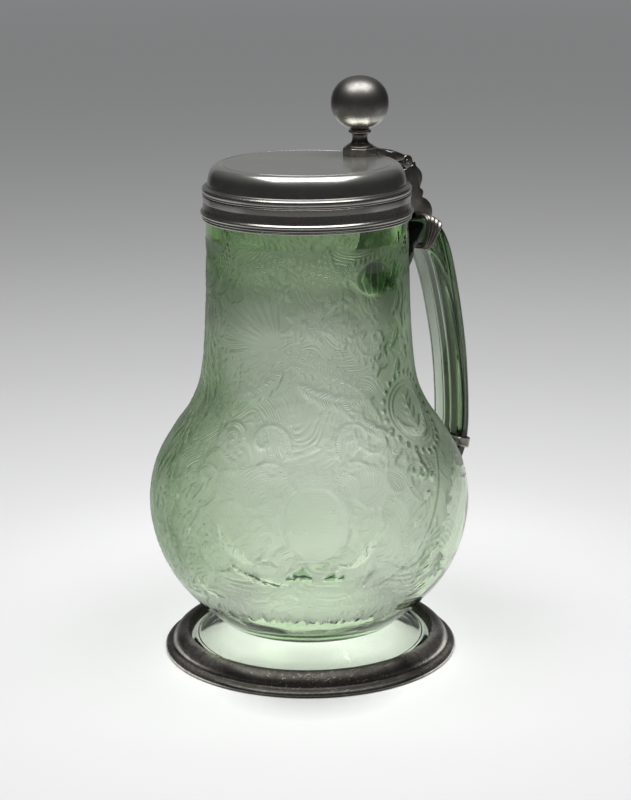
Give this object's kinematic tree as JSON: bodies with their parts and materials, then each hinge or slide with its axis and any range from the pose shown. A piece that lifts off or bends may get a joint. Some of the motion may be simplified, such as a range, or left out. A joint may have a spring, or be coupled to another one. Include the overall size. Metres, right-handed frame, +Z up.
{
  "type": "covered tankard",
  "caption": "Pear-shaped green glass tankard with a ribbed strap handle, pewter foot ring and collar, and a hinged pewter lid lifted by a ball thumbpiece.",
  "frame": {"origin": "middle of the whole part's base, on the surface it stands on; the vessel's own axis is 8.25 mm towards -X", "axes": "+Z up, +X towards the handle, +Y to the left of somebody looking along +X"},
  "size_m": [0.1508, 0.1342, 0.2406],
  "materials": {
    "engraved_glass": "pale green soda glass, cut and matt engraved outside",
    "plain_glass": "pale green soda glass, fire polished",
    "handle_glass": "green soda glass, thick, fire polished",
    "pewter": "worn satin pewter",
    "dark_pewter": "dark oxidised pewter, rubbed bright on its ridges",
    "putty": "dry matt plaster"
  },
  "bodies": {
    "vessel": {"glass_body": "engraved_glass", "glass_foot": "plain_glass", "glass_handle": "handle_glass", "foot_ring": "dark_pewter", "foot_ring_putty": "putty", "lip_collar": "pewter", "handle_bracket": "dark_pewter", "handle_band": "dark_pewter", "lower_handle_band": "dark_pewter", "hinge_pin": "dark_pewter"},
    "lid": {"lid": "pewter", "lid_hinge_leaf": "dark_pewter", "thumbpiece_stem": "dark_pewter", "thumbpiece_ball": "pewter"}
  },
  "joints": [
    {"name": "lid_hinge", "type": "hinge", "parent": "vessel", "child": "lid", "pos_m": [0.04155, 0, 0.2036], "axis": [0, 1, 0], "range_deg": [0, 110]}
  ]
}
